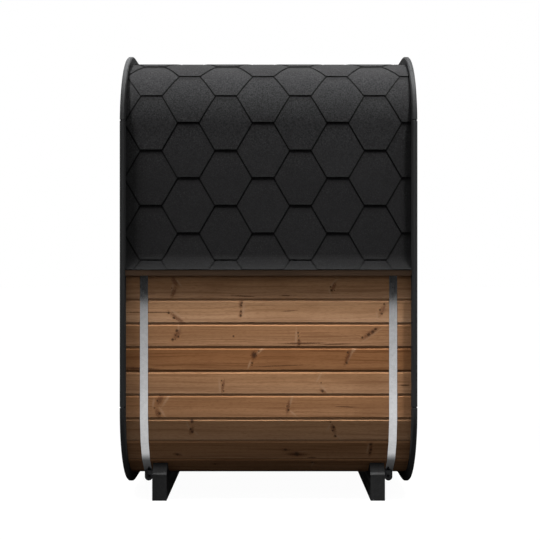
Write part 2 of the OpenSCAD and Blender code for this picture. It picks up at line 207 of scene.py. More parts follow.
def timber(name, light, dark, rows=()):
    """Planed boards. The UV map holds metres along and across the grain; rows are those with marks."""
    f = Finish(name)
    sheet, tone = f.sheet(), f.tone()
    along, across = f.split(sheet)[:2]
    turn = f.math("DIVIDE", f.plus(across, ROW / 2), ROW)
    shift = f.times(f.math("FLOOR", turn), 7.31)

    def field(x, y, detail, rough=0.5, warp=None):
        """Noise drawn out along the grain, another on each row."""
        v = across if warp is None else f.plus(across, warp)
        place = f.node("ShaderNodeCombineXYZ", {0: f.times(along, x), 1: f.times(v, y), 2: shift})
        return f.noise(place.outputs[0], 1.0, detail, rough)

    def wobble(x, y, much):
        return f.times(f.math("SUBTRACT", field(x, y, 2.0), 0.5), much)

    def nearest(marks):
        """How far the nearest of some ellipses is, with 1 at its edge, and a little ragged."""
        least = None
        for row, x, y, length, width, slope in (m for m in marks if m[0] in rows):
            away = f.node("ShaderNodeMapping", {
                "Vector": sheet, "Location": (x / 1000, row * ROW + y / 1000, 0),
                "Rotation": (0, 0, math.radians(slope)), "Scale": (length / 2000, width / 2000, 1)},
                vector_type="TEXTURE").outputs[0]
            distance = f.length(away)
            least = distance if least is None else f.math("MINIMUM", least, distance)
        return f.plus(least, ragged)

    sway = wobble(2.2, 9, 0.030)
    if rows:
        ragged = wobble(190, 210, 1.5)
        near = nearest([(row, x, y, r * 2.0, r * 2.0, 0) for row, x, y, r in KNOTS])
        heart = f.span(near, 0.3, 1.5, 0.92, 0.0)
        halo = f.span(near, 1.0, 3.6, 1.0, 0.0)
        torn = f.span(field(230, 330, 2.0), 0.30, 0.56, 0.35, 1.0)
        wisp = f.times(f.span(nearest(WISPS), 0.0, 2.1, 0.72, 0.0), torn)
        smudge = f.times(f.span(nearest(SMUDGES), 0.4, 1.6, 0.95, 0.0), torn)
        crack = f.span(nearest(CRACKS), 0.5, 1.6, 0.85, 0.0)
        sway = f.plus(sway, f.times(halo, 0.006))
    broad = field(0.9, 34, 4.0, 0.55, sway)
    rings = field(1.4, 90, 4.0, 0.65, sway)
    fibre = field(9, 900, 3.0, 0.6)
    fleck = field(46, 300, 2.0)
    patch = field(3.0, 6, 3.0)
    base = f.mix(tone, rgb(light), rgb(dark))
    deep = f.tint(base, 0.62, 0.53, 0.46)
    colour = f.mix(f.span(broad, 0.32, 0.68), base, f.tint(base, 1.26, 1.29, 1.33))
    strong = f.plus(f.times(tone, 0.55), 0.40)
    for much in (f.times(f.span(rings, 0.48, 0.66), strong), f.times(f.span(patch, 0.5, 0.75), 0.35),
                 f.span(fibre, 0.35, 0.7, 0.0, 0.22), f.span(fleck, 0.45, 0.72, 0.0, 0.40)):
        colour = f.mix(much, colour, deep)
    # paler toward each board's lower edge
    paler_lower_edge = f.span(f.math("FRACT", turn), 0.20, 0.62, 1.0, 0.0)
    colour = f.mix(paler_lower_edge, colour, f.tint(colour, 1.10, 1.17, 1.28))
    height = f.plus(f.times(rings, 0.5), f.times(fibre, 0.5))
    if rows:
        for much, mark in ((f.times(halo, 0.45), f.tint(base, 1.1, 1.05, 1.0)),
                           (wisp, rgb(light, (1.04, 1.16, 1.35))),
                           (smudge, f.tint(base, 0.46, 0.37, 0.36)),
                           (crack, rgb(light, (0.20, 0.14, 0.12))),
                           (heart, rgb(light, (0.13, 0.11, 0.11)))):
            colour = f.mix(much, colour, mark)
        height = f.math("SUBTRACT", height, f.times(heart, 0.6))
    return f.principled(
        Base_Color=colour, Roughness=f.span(rings, 0.3, 0.7, 0.55, 0.69),
        Specular_IOR_Level=0.05, Normal=f.bump(height, 0.35, 0.0006))


def painted_wood(name, shade, stretch=None, painted_highlight=None, sides=1.0):
    """Sawn timber under a dark stain. Without stretch, the grain follows the UV map.

    painted_highlight is a painted highlight: the heights where the stain starts and ends to pale and where
    it starts and ends to darken again, and how much paler it is. sides scales the faces with a tone of 0, a
    painted light above 1 and a painted shade below 1.
    """
    f = Finish(name)
    spot = f.place()
    place = spot if stretch else f.sheet()
    fine = f.stretched(place, stretch or (6, 260, 260))
    grain = f.noise(fine, 1.0, 4.0, 0.6)
    drift = f.noise(f.stretched(fine, (0.35, 0.18, 0.18)))
    cloud = f.noise(place, 3.0)
    colour = f.mix(f.span(grain, 0.3, 0.7), rgb(shade, 0.72), rgb(shade, 1.25))
    colour = f.mix(f.span(drift, 0.4, 0.75, 0.0, 0.5), colour, rgb(shade, 0.66))
    colour = f.mix(f.span(cloud, 0.35, 0.7, 0.0, 0.35), colour, rgb(shade, 1.3))
    if painted_highlight:
        # painted highlight: the stain paler between two heights, weighed by each face's tone
        start, end, fade, gone, much = painted_highlight
        height = f.split(spot)[2]
        highlight_mask = f.times(f.span(height, start, end), f.span(height, fade, gone, 1.0, 0.0))
        # the faces with a tone of 0 scaled by sides: painted light above 1, painted shade below 1
        side = f.tint(colour, sides, sides, sides)
        colour = f.mix(f.tone(), side, f.mix(highlight_mask, colour, f.tint(colour, much, much, much)))
    return f.principled(
        Base_Color=colour, Roughness=f.span(drift, 0.3, 0.7, 0.55, 0.72),
        Specular_IOR_Level=0.10, Normal=f.bump(grain, 0.4, 0.0008))


def shingle_felt(name):
    """Bitumen felt under mineral granules, with a band below the tabs of the next row, partly print and
    partly painted shadow, and painted light by height.
    """
    f = Finish(name)
    place = f.place()
    # darker band below the next row's tabs: partly the shingles' print, partly painted shadow
    band = f.span(f.split(f.sheet("felt"))[1], 0.226, 0.269, 0.0, 0.6)
    grit = f.noise(place, 620.0, 3.0, 0.7)
    specks = f.noise(place, 260.0, 2.0, 0.6)
    cloud = f.noise(place, 9.0, 4.0, 0.55)
    body = f.mix(f.tone(), (0.0090, 0.0090, 0.0092, 1), (0.0112, 0.0112, 0.0115, 1))
    colour = f.mix(f.span(cloud, 0.3, 0.7, 0.0, 0.4), body, (0.0080, 0.0080, 0.0083, 1))
    colour = f.mix(f.span(specks, 0.50, 0.72, 0.0, 0.7), colour, (0.021, 0.021, 0.0215, 1))
    colour = f.mix(f.span(grit, 0.30, 0.48, 0.5, 0.0), colour, grey(0.004))
    height = f.split(place)[2]
    # painted light: paler over the upper curve and the crest, darker on the flare at the eave; then times
    # the mottle
    painted_light_and_mottle = f.plus(f.span(height, 1.45, 1.85, 0.0, 0.24), f.span(height, 1.90, 2.12, 0.0, 0.62))
    painted_light_and_mottle = f.plus(painted_light_and_mottle, f.span(height, 1.16, 1.24, 0.75, 1.0))
    mottle = f.span(f.noise(place, 130.0, 2.0, 0.6), 0.25, 0.75, -0.39, 0.39)
    uneven = f.plus(f.times(mottle, f.span(height, 1.55, 1.90, 0.42, 1.0)), 1.0)
    painted_light_and_mottle = f.times(painted_light_and_mottle, uneven)
    painted_light_and_mottle = f.node("ShaderNodeCombineXYZ", {0: painted_light_and_mottle, 1: painted_light_and_mottle, 2: painted_light_and_mottle}).outputs[0]
    colour = f.mix(band, f.stretched(colour, painted_light_and_mottle), grey(0.003))
    rise = f.plus(f.times(grit, 0.6), f.times(specks, 0.4))
    return f.principled(
        Base_Color=colour, Roughness=0.8, Specular_IOR_Level=0.04, Sheen_Weight=0.05, Sheen_Roughness=0.45,
        Normal=f.bump(rise, 0.5, 0.0012))


def bitumen(name):
    """The bare, slightly shiny edge of the felt."""
    f = Finish(name)
    lumps = f.noise(f.place(), 180.0, 3.0, 0.6)
    return f.principled(
        Base_Color=f.mix(lumps, grey(0.0012), grey(0.0032)), Roughness=f.span(lumps, 0.3, 0.7, 0.55, 0.75),
        Specular_IOR_Level=0.04, Normal=f.bump(lumps, 0.4, 0.0006))


def bare_steel(name, low, high, smooth, metal=1.0):
    """Strip steel, with faint drawing lines."""
    f = Finish(name)
    place = f.place()
    lines = f.noise(f.stretched(place, (700, 9, 9)), 1.0, 3.0, 0.6)
    cloud = f.noise(place, 45.0, 3.0, 0.6)
    grain = f.noise(place, 700.0, 2.0, 0.6)
    colour = f.mix(f.span(cloud, 0.3, 0.7), rgb(low), rgb(high))
    colour = f.mix(f.span(grain, 0.55, 0.75, 0.0, 0.25), colour, rgb(low, 0.8))
    rough = f.plus(f.span(lines, 0.3, 0.7, smooth, smooth + 0.02), f.span(cloud, 0.3, 0.7, 0.0, 0.015))
    return f.principled(
        Base_Color=colour, Metallic=metal, Roughness=rough, Normal=f.bump(lines, 0.02, 0.0001))


def tinted_glass(name):
    f = Finish(name)
    smear = f.noise(f.place(), 4.0)
    return f.principled(
        Base_Color=(0.40, 0.33, 0.27, 1), Roughness=f.span(smear, 0.3, 0.7, 0.01, 0.05),
        Transmission_Weight=1.0, IOR=1.5)


SHARES = ((0, 1, 2), (3, 4, 5), range(6, ROWS))  # rows of the timber sheet in each material
WOOD = [timber("thermo_wood_" + letter, (0.300, 0.168, 0.088), (0.178, 0.0765, 0.029), rows)
        for letter, rows in zip("abc", SHARES)]
FRAME_WOOD = timber("frame_wood", (0.250, 0.132, 0.070), (0.185, 0.085, 0.038))
BATTEN_WOOD = painted_wood("batten_wood", (0.118, 0.072, 0.045), (5, 220, 220))
# rings: a painted highlight toward the top, and a painted light of 1.2 on the flat faces
BLACK_WOOD = painted_wood(
    "black_wood", (0.0155, 0.0158, 0.0162), painted_highlight=(1.95, 2.22, 8.0, 9.0, 4.8), sides=1.2)
# feet: a painted highlight on the bevel, and a painted shade of 0.25 on the side faces
FOOT_WOOD = painted_wood(
    "foot_wood", (0.0165, 0.0166, 0.0168), (260, 6, 260), (0.127, 0.136, 0.145, 0.178, 3.9), 0.25)
FELT = shingle_felt("bitumen_shingle")
STEEL = bare_steel("steel", (0.60, 0.60, 0.605), (0.66, 0.66, 0.665), 0.045, 0.96)
# a darker copy of the steel: painted shade for the ears, rods and nuts under the cabin
SHADED_STEEL = bare_steel("shaded_steel", (0.010, 0.010, 0.0105), (0.026, 0.026, 0.027), 0.25)
BITUMEN = bitumen("bitumen_edge")
GLASS = tinted_glass("door_glass")


# --- making pieces
def show(name, data):
    """A new object in the scene."""
    obj = bpy.data.objects.new(name, data)
    bpy.context.scene.collection.objects.link(obj)
    return obj


def as_mesh(name, bm):
    """The mesh of a finished bmesh, which is freed."""
    mesh = bpy.data.meshes.new(name)
    bm.to_mesh(mesh)
    bm.free()
    return mesh


def outward(bm):
    """Turns all the faces to look outward."""
    bmesh.ops.recalc_face_normals(bm, faces=bm.faces)


def piece(name, bm, material, slot, *nodes, tidy=True):
    """Makes an object of a finished bmesh and hands it to the frame."""
    if tidy:
        outward(bm)
    mesh = as_mesh(name, bm)
    for each in (material if isinstance(material, list) else [material]):
        mesh.materials.append(each)
    obj = show(name, mesh)
    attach(obj, "root")
    if nodes:
        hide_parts(*nodes)


def layers(bm):
    """The layers of the timber sheet: places on it, and each face's tone."""
    uv = bm.loops.layers.uv.get("grain") or bm.loops.layers.uv.new("grain")
    tone = bm.faces.layers.float.get("tone") or bm.faces.layers.float.new("tone")
    return uv, tone


def fresh():
    """An empty bmesh that has its layers before it has faces."""
    bm = bmesh.new()
    layers(bm)
    return bm


def merge(bm, part):
    """Adds a part's mesh to a bmesh, and frees the part."""
    held = as_mesh("held", part)
    bm.from_mesh(held)
    bpy.data.meshes.remove(held)


def cut(bm, *planes, clear=True):
    """Cuts a bmesh with planes, each a point and a normal, and clears what lies beyond them."""
    for point, normal in planes:
        bmesh.ops.bisect_plane(
            bm, geom=bm.verts[:] + bm.edges[:] + bm.faces[:], dist=1e-6,
            plane_co=point, plane_no=normal, clear_outer=clear)


def thicken(bm, faces, vec):
    """Extrudes faces, keeps them as the near side, and returns the far side's vertices."""
    made = bmesh.ops.extrude_face_region(bm, geom=faces, use_keep_orig=True)
    verts = [g for g in made["geom"] if isinstance(g, bmesh.types.BMVert)]
    bmesh.ops.translate(bm, verts=verts, vec=vec)
    return verts


def chamfer_edges(bm, edges, width, segments=1):
    bmesh.ops.bevel(
        bm, geom=edges, offset=width, offset_type="OFFSET", segments=segments, profile=0.5,
        affect="EDGES", material=-1, clamp_overlap=True)


def cube(bm, size, middle):
    """A plain block of a size, round a middle."""
    bmesh.ops.create_cube(bm, size=1.0)
    bmesh.ops.scale(bm, vec=size, verts=bm.verts)
    bmesh.ops.translate(bm, vec=middle, verts=bm.verts)


def prism(bm, outline, x0, x1):
    """Extrudes a Y-Z outline along X, and returns all its faces."""
    ring = [bm.verts.new((x0, y, z)) for y, z in outline]
    verts = thicken(bm, [bm.faces.new(ring)], (x1 - x0, 0, 0))
    faces = list({f for v in ring + verts for f in v.link_faces})
    bmesh.ops.recalc_face_normals(bm, faces=faces)
    return faces


def share(row):
    """The wood's material that has the marks of a row."""
    return min(row // 3, 2)


def dress(node, material):
    """Gives a material to a node that is kept as it is."""
    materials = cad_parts[node].data.materials
    materials.clear()
    materials.append(material)


# --- the shell, of boards along X
def plank(bm, quad, row, shade, flip=False):
    """One board of the shell. quad is its section: outer edge a to b, then inner edge c to d."""
    a, b, c, d = (Vector(p) for p in quad)
    ab, cd = (b - a).normalized(), (d - c).normalized()
    bc, da = (c - b).normalized(), (a - d).normalized()
    h, t = GROOVE_H, GROOVE_D
    outline = [a + ab * h, b - ab * h, b + bc * t - ab * GAP, c - bc * t * 0.8 - ab * GAP,
               c + cd * h * 0.7, d - cd * h * 0.7, d + da * t * 0.8 + ab * GAP, a - da * t + ab * GAP]
    uv, tone = layers(bm)
    middle = (a + b) / 2
    out = Vector((ab.y, -ab.x))
    if out.dot(c - b) > 0:
        out = -out
    for face in prism(bm, outline, -BODY_X, BODY_X):
        face[tone] = shade
        face.normal_update()
        facing = abs(Vector(face.normal.yz).dot(out))
        for loop in face.loops:
            p = Vector(loop.vert.co.yz)
            offset = (p - middle).dot(ab)
            depth = -(p - middle).dot(out)
            inside = depth > BOARD_T * 0.6 and facing > 0.5
            line = (row + 7) % ROWS if inside else row
            face.material_index = share(line)
            along = loop.vert.co.x * (-1 if flip else 1)
            if facing < 0.3 and abs(face.normal.x) < 0.5:
                offset = math.copysign(0.062 + depth * 0.5, offset)
            if abs(face.normal.x) > 0.5:
                along = depth * 0.2
            loop[uv].uv = (along, line * ROW + offset)


def quarter(sy, sz):
    """The outline's points from the side wall to the floor or ceiling, on one side."""
    y, z = SIDE_Y, (HIGH_SEAM if sz > 0 else LOW_SEAM)
    points = [(sy * y, z)]
    for lean in LEANS:
        y -= COVER * math.sin(math.radians(lean))
        z += sz * COVER * math.cos(math.radians(lean))
        points.append((sy * y, z))
    return points


def inner_points(points, sy, sz):
    """The same points moved in by the thickness of the boards, along the mitres."""
    leans = (0.0,) + LEANS + (90.0,)
    moved = []
    for i, (y, z) in enumerate(points):
        half = math.radians((leans[i] + leans[i + 1]) / 2)
        turn = math.radians((leans[i + 1] - leans[i]) / 2)
        d = BOARD_T / math.cos(turn)
        moved.append((y - sy * d * math.cos(half), z - sz * d * math.sin(half)))
    return moved


rng = random.Random(7)


def next_board():
    """A row of the timber sheet, a tone, and whether the board is turned end for end."""
    return rng.randrange(ROWS), rng.uniform(0.0, 1.0), rng.random() < 0.5


def side_wall(node, sy):
    """The wall's boards from the bottom up, and the narrow one that closes it."""
    bm = fresh()
    tones = (0.66, 0.40, 0.93, 0.55, 0.10, 0.30)  # of the left wall's lower boards
    low_in = inner_points(quarter(sy, -1), sy, -1)[0]
    high_in = inner_points(quarter(sy, 1), sy, 1)[0]
    z = LOW_SEAM
    k = 0
    while z < HIGH_SEAM - 0.001:
        z1 = min(z + COVER, HIGH_SEAM)
        c = high_in if z1 > HIGH_SEAM - 0.001 else (sy * (SIDE_Y - BOARD_T), z1)
        d = low_in if k == 0 else (sy * (SIDE_Y - BOARD_T), z)
        row, tone, flip = next_board()
        if sy < 0:
            row, tone, flip = k % 12, (tones[k] if k < len(tones) else tone), False
        plank(bm, ((sy * SIDE_Y, z), (sy * SIDE_Y, z1), c, d), row, tone, flip)
        z = z1
        k += 1
    piece(node + "_boards", bm, WOOD, "thermo_wood", node)


def corner(node, sy, sz):
    bm = fresh()
    outer = quarter(sy, sz)
    inner = inner_points(outer, sy, sz)
    tones = (0.22, 0.55, 0.60, 0.6)
    for i in range(4):
        row, tone, flip = next_board()
        if sy < 0 and sz < 0:
            row, tone, flip = 12 + i, tones[i], False
        # the sheet's rows read upwards, so a lower board's section starts at its lower edge
        plank(bm, (outer[i + 1], outer[i], inner[i], inner[i + 1]), row, tone, flip)
    piece(node + "_boards", bm, WOOD, "thermo_wood", node)


def deck(node, sz):
    """The floor or the ceiling."""
    bm = fresh()
    outer = quarter(1, sz)
    reach, inner_reach = outer[-1][0], inner_points(outer, 1, sz)[-1][0]
    z_out = TOP_Z if sz > 0 else FLOOR_Z
    z_in = z_out - sz * BOARD_T
    count = round(2 * reach / COVER)
    for i in range(count):
        y0, y1 = -reach + i * COVER, -reach + (i + 1) * COVER
        in0 = -inner_reach if i == 0 else y0
        in1 = inner_reach if i == count - 1 else y1
        plank(bm, ((y0, z_out), (y1, z_out), (in1, z_in), (in0, z_in)), *next_board())
    piece(node + "_boards", bm, WOOD, "thermo_wood", node)


side_wall("left_wall", -1)
side_wall("right_wall", 1)
corner("lower_left_corner", -1, -1)
corner("lower_right_corner", 1, -1)
corner("upper_right_corner", 1, 1)
corner("upper_left_corner", -1, 1)
deck("floor", -1)
deck("ceiling", 1)


# --- end walls, of level boards
def inside_outline():
    """The closed outline of the cabin's inside, in Y and Z."""
    points = []
    for sy, sz, back in ((-1, -1, False), (1, -1, True), (1, 1, False), (-1, 1, True)):
        part = inner_points(quarter(sy, sz), sy, sz)
        points += part[::-1] if back else part
    return points


def end_wall(node, box, low_y, high_y, z_from=0.0):
    """Level boards between two uprights or the shell, each grooved along its edges."""
    bm = fresh()
    inside, outside = (box[0].x, box[1].x) if box[1].x > 0 else (box[1].x, box[0].x)
    z, top = FLOOR_Z + BOARD_T, TOP_Z - BOARD_T
    while z < top - 0.001:
        z1 = min(z + COVER, top)
        if top - z1 < 0.03:
            z1 = top
        low = max(z, z_from) + GAP
        if z1 > z_from + 0.02:
            high = z1 - GAP
            part = fresh()
            part.faces.new([part.verts.new((inside, *point)) for point in inside_outline()])
            cut(part, ((0, 0, low), (0, 0, -1)), ((0, 0, high), (0, 0, 1)),
                ((0, low_y, 0), (0, -1, 0)), ((0, high_y, 0), (0, 1, 0)))
            thicken(part, part.faces[:], (outside - inside, 0, 0))
            outward(part)
            long_edges = [e for e in part.edges if abs(e.verts[0].co.x - e.verts[1].co.x) < 1e-6
                          and any(all(abs(v.co.z - at) < NEAR for v in e.verts) for at in (low, high))]
            chamfer_edges(part, long_edges, 0.006)
            row, shade, flip = next_board()
            uv, tone = layers(part)
            for face in part.faces:
                face[tone] = shade
                for loop in face.loops:
                    p = loop.vert.co
                    line = (row + 5) % ROWS if abs(p.x - inside) < 0.012 else row
                    face.material_index = share(line)
                    loop[uv].uv = ((-p.y if flip else p.y), line * ROW + p.z - (z + z1) / 2)
            merge(bm, part)
        z = z1
    piece(node + "_boards", bm, WOOD, "thermo_wood", node)


DOOR_HALF = OVER_DOOR[1].y
FAR = 2 * SIDE_Y
end_wall("rear_wall", REAR_WALL, -FAR, FAR)
end_wall("front_wall_left", OVER_DOOR, -FAR, -DOOR_HALF)
end_wall("front_wall_right", OVER_DOOR, DOOR_HALF, FAR)
end_wall("front_wall_over_door", OVER_DOOR, -DOOR_HALF, DOOR_HALF, OVER_DOOR[0].z)


# --- door frame, door and fittings
ALONG_Y, ALONG_Z = 1, 2
EASE = 0.003  # eased edges of planed bars


def grain_uv(bm, axis, row, shade):
    """Lays the timber sheet on the faces, with the grain along one axis."""
    uv, tone = layers(bm)
    others = [i for i in range(3) if i != axis]
    for face in bm.faces:
        face[tone] = shade
        face.normal_update()
        normal = face.normal
        across = others[0] if abs(normal[others[1]]) > abs(normal[others[0]]) else others[1]
        if abs(normal[axis]) > 0.8:
            across = others[0]
        for loop in face.loops:
            p = loop.vert.co
            loop[uv].uv = (p[axis], row * ROW + p[across])


def bar(bm, low, high, axis=ALONG_Z, row=0, shade=0.5, ease=EASE, segments=2):
    """A planed bar with eased edges, between two corners."""
    part = fresh()
    cube(part, Vector(high) - Vector(low), (Vector(high) + Vector(low)) / 2)
    chamfer_edges(part, part.edges[:], ease, segments)
    grain_uv(part, axis, row, shade)
    merge(bm, part)


for node, what, axis, row, shade in (
        ("door_jamb_left", "_post", ALONG_Z, 1, 0.30), ("door_jamb_right", "_post", ALONG_Z, 4, 0.20),
        ("door_head", "_rail", ALONG_Y, 6, 0.35), ("door_sill", "_rail", ALONG_Y, 9, 0.60)):
    post = fresh()
    bar(post, *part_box(node), axis, row, shade)
    piece(node + what, post, FRAME_WOOD, "thermo_wood", node)

STILE = 0.095  # width of the door's stiles and rails
BEAD_W = 0.012  # width of the beads that hold the glass
REBATE = 0.001  # how far a bead reaches into the frame


def door():
    """Two stiles and two rails, and beads that hold the glass."""
    low, high = LEAF
    y0, y1 = low.y + STILE, high.y - STILE
    z0, z1 = low.z + STILE, high.z - STILE
    bm = fresh()
    bar(bm, low, (high.x, y0, high.z), ALONG_Z, 2, 0.25)
    bar(bm, (low.x, y1, low.z), high, ALONG_Z, 3, 0.10)
    bar(bm, (low.x, y0, z1), (high.x, y1, high.z), ALONG_Y, 5, 0.35)
    bar(bm, (low.x, y0, low.z), (high.x, y1, z0), ALONG_Y, 8, 0.45)
    piece("door_leaf_frame", bm, FRAME_WOOD, "thermo_wood", "door_leaf")
    bm = fresh()
    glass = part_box("door_glass")
    w, r = BEAD_W, REBATE
    for x0, x1 in ((low.x + 0.005, glass[0].x - 0.0003), (glass[1].x + 0.0003, high.x - 0.005)):
        bar(bm, (x0, y0 - r, z0 - r), (x1, y0 + w, z1 + r), ALONG_Z, 10)
        bar(bm, (x0, y1 - w, z0 - r), (x1, y1 + r, z1 + r), ALONG_Z, 11)
        bar(bm, (x0, y0 + w, z0 - r), (x1, y1 - w, z0 + w), ALONG_Y, 10)
        bar(bm, (x0, y0 + w, z1 - w), (x1, y1 - w, z1 + r), ALONG_Y, 11)
    piece("door_glass_beads", bm, FRAME_WOOD, "thermo_wood")


door()
dress("door_glass", GLASS)


def rod(bm, start, end, radius, segments=24, ease=0.0):
    """A round bar between two points."""
    start, end = Vector(start), Vector(end)
    axis = end - start
    turn = Vector((0, 0, 1)).rotation_difference(axis.normalized()).to_matrix().to_4x4()
    made = bmesh.ops.create_cone(
        bm, cap_ends=True, segments=segments, radius1=radius, radius2=radius,
        depth=axis.length, matrix=Matrix.Translation((start + end) / 2) @ turn)
    if ease:
        rims = {e for v in made["verts"] for e in v.link_edges
                if len(e.link_faces) == 2 and any(len(f.verts) > 4 for f in e.link_faces)}
        chamfer_edges(bm, list(rims), ease, 2)


def handle():
    """An upright grip on each side of the door, on two rods that pass through it."""
    low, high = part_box("door_handle")
    bm = fresh()
    thick = 0.028
    for x0, x1 in ((low.x, low.x + thick), (high.x - thick, high.x)):
        bar(bm, (x0, low.y, low.z), (x1, high.y, high.z), ALONG_Z, 6, 0.6, 0.006, 3)
    y = (low.y + high.y) / 2
    for s in (-1, 1):
        z = (low.z + high.z) / 2 + s * (high.z - low.z) * 0.3
        rod(bm, (low.x + thick / 2, y, z), (high.x - thick / 2, y, z), 0.008)
    piece("door_handle_bars", bm, FRAME_WOOD, "thermo_wood", "door_handle")


handle()


def hinges():
    """Two leaves, a link, five knuckles and six screws to each hinge."""
    low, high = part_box("door_hinges")
    bm = fresh()
    half, leaf_t = 0.05, 0.0025
    jamb_x, leaf_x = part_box("door_jamb_left")[1].x, LEAF[1].x
    pin_x = jamb_x + 0.007
    gap_y = LEAF[1].y + 0.0015
    for z in (low.z + half, high.z - half):
        z0, z1 = z - half, z + half
        for corner0, corner1 in (
                ((jamb_x, gap_y, z0), (jamb_x + leaf_t, high.y, z1)),
                ((leaf_x, low.y, z0), (leaf_x + leaf_t, gap_y - 0.003, z1)),
                ((leaf_x, gap_y - 0.006, z0), (jamb_x + leaf_t, gap_y - 0.003, z1))):
            bar(bm, corner0, corner1, ease=0.0008, segments=1)
        for k in range(5):
            knuckle = z0 + k * 0.02
            rod(bm, (pin_x, gap_y, knuckle + 0.0004), (pin_x, gap_y, knuckle + 0.0196), 0.007, 20, 0.0006)
        for dz in (-0.035, 0.0, 0.035):
            for x, y in ((jamb_x + leaf_t, gap_y + 0.021), (leaf_x + leaf_t, low.y + 0.012)):
                rod(bm, (x - 0.001, y, z + dz), (x + 0.0012, y, z + dz), 0.004, 12, 0.0005)
    piece("door_hinge_pair", bm, STEEL, "steel", "door_hinges")


hinges()


# --- end rings
RING_W = 0.120
RING_R = 0.407  # outer radius of the corners
JOINT_SHIFT = 0.024  # the side boards start this much above the corners' centres
JOINT_GAP = 0.0001  # half the gap at a joint
JOINT_V = 0.0055  # eased edges at the square joints, which look like a V
MITRE_V = 0.0012
ring_y = -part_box("front_ring_left")[0].y
ring_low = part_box("front_ring_bottom")[0].z
ring_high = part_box("front_ring_top")[1].z
curve_y = ring_y - RING_R
low_curve = ring_low + RING_R
high_curve = ring_high - RING_R


def whole_ring(x0, x1):
    """The ring in one loop: its section swept round the rounded rectangle, anticlockwise seen from +X."""
    bm = fresh()
    thick, round_off, ease = x1 - x0, 0.005, 0.003
    section = ((0, round_off), (0, thick - round_off), (round_off, thick), (RING_W - ease, thick),
               (RING_W, thick - ease), (RING_W, ease), (RING_W - ease, 0), (round_off, 0))
    steps = 20
    loops = []
    for cy, cz, start in ((curve_y, low_curve, -90), (curve_y, high_curve, 0),
                          (-curve_y, high_curve, 90), (-curve_y, low_curve, 180)):
        for i in range(steps + 1):
            angle = math.radians(start + 90 * i / steps)
            loop = []
            for inward, along in section:
                r = RING_R - inward
                loop.append(bm.verts.new((x0 + along, cy + r * math.cos(angle), cz + r * math.sin(angle))))
            loops.append(loop)
    join(bm, loops + loops[:1])
    outward(bm)
    return bm


def join(bm, loops):
    """Faces between each closed loop of vertices and the next."""
    for loop, after in zip(loops, loops[1:]):
        for k in range(len(loop)):
            m = (k + 1) % len(loop)
            bm.faces.new((loop[k], loop[m], after[m], after[k]))


def keep_nearest(bm, point):
    """Keeps the connected part nearest to a point."""
    left = set(bm.verts)
    best, keep = None, None
    while left:
        seed = left.pop()
        group, stack = {seed}, [seed]
        while stack:
            for e in stack.pop().link_edges:
                for v in e.verts:
                    if v not in group:
                        group.add(v)
                        stack.append(v)
        left -= group
        distance = min((v.co - point).length for v in group)
        if best is None or distance < best:
            best, keep = distance, group
    bmesh.ops.delete(bm, geom=[v for v in bm.verts if v not in keep], context="VERTS")


def close_ends(bm):
    """Fills the cut ends and eases their edges."""
    holes = [e for e in bm.edges if len(e.link_faces) == 1]
    made = bmesh.ops.holes_fill(bm, edges=holes, sides=0)["faces"]
    outward(bm)
    square = [e for f in made for e in f.edges if max(abs(f.normal.y), abs(f.normal.z)) > 0.9]
    mitred = [e for f in made for e in f.edges if max(abs(f.normal.y), abs(f.normal.z)) <= 0.9]
    for rims, width in ((square, JOINT_V), (mitred, MITRE_V)):
        if rims:
            chamfer_edges(bm, rims, width)


def ring_board(whole, planes, near, direction, row, shade):
    """One board of a ring: the stretch near a point, cut from the loop, with straight grain."""
    bm = whole.copy()
    cut(bm, *planes)
    keep_nearest(bm, Vector(near))
    close_ends(bm)
    uv, tone = layers(bm)
    d = Vector((0, *direction)).normalized()
    across = Vector((1, 0, 0)).cross(d)
    for face in bm.faces:
        face.normal_update()
        flat = abs(face.normal.x) > 0.8
        # flat faces take the painted side light; on the rest the shade weighs the painted highlight
        face[tone] = 0.0 if flat else shade
        for loop in face.loops:
            p = loop.vert.co
            v = p.dot(across) if flat else p.x
            loop[uv].uv = (p.dot(d) + row * 3.7, v + row * 1.3)
    return bm


def end_ring(node, shade):
    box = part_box(node + "left")
    whole = whole_ring(box[0].x, box[1].x)
    g = JOINT_GAP
    low_joint, high_joint = low_curve + JOINT_SHIFT, high_curve + JOINT_SHIFT
    upright = (((0, 0, low_joint + g), (0, 0, -1)), ((0, 0, high_joint - g), (0, 0, 1)))
    level = (((0, curve_y - g, 0), (0, 1, 0)), ((0, -curve_y + g, 0), (0, -1, 0)))
    for part, planes, near, direction, row in (
            ("left", upright, (0, -ring_y, MID_Z), (0, 1), 1),
            ("right", upright, (0, ring_y, MID_Z), (0, 1), 2),
            ("top", level, (0, 0, ring_high), (1, 0), 3),
            ("bottom", level, (0, 0, ring_low), (1, 0), 4)):
        board = ring_board(whole, planes, near, direction, row, shade)
        piece(node + part + "_board", board, BLACK_WOOD, "black_wood", node + part)
    for part, sz, joint, curve in (("upper_corners", 1, high_joint, high_curve),
                                   ("lower_corners", -1, low_joint, low_curve)):
        joined = fresh()
        for sy in (-1, 1):
            centre = Vector((0, sy * curve_y, curve))
            # the mitre's plane holds the corner's centre and the diagonal; n points along the ring
            n = Vector((0, -sy, sz)) * math.sqrt(0.5)
            to_joint = (((0, 0, joint + g * sz), (0, 0, -sz)), (centre - n * g, n))
            to_level = (((0, sy * (curve_y + g), 0), (0, -sy, 0)), (centre + n * g, -n))
            for planes, u, v, row in ((to_joint, 0.92, 0.38, 5), (to_level, 0.38, 0.92, 6)):
                near = centre + Vector((0, sy * u, sz * v)) * RING_R
                merge(joined, ring_board(whole, planes, near, (-sy * v, sz * u), row + sy + 2 * sz, shade))
        piece(node + part + "_boards", joined, BLACK_WOOD, "black_wood", node + part)
    whole.free()


# the number weighs each ring's painted highlight and painted side light: less highlight on the front ring
end_ring("front_ring_", 0.31)
end_ring("rear_ring_", 0.78)


# --- feet
NOSE = 0.128  # height at which a foot's bevel starts


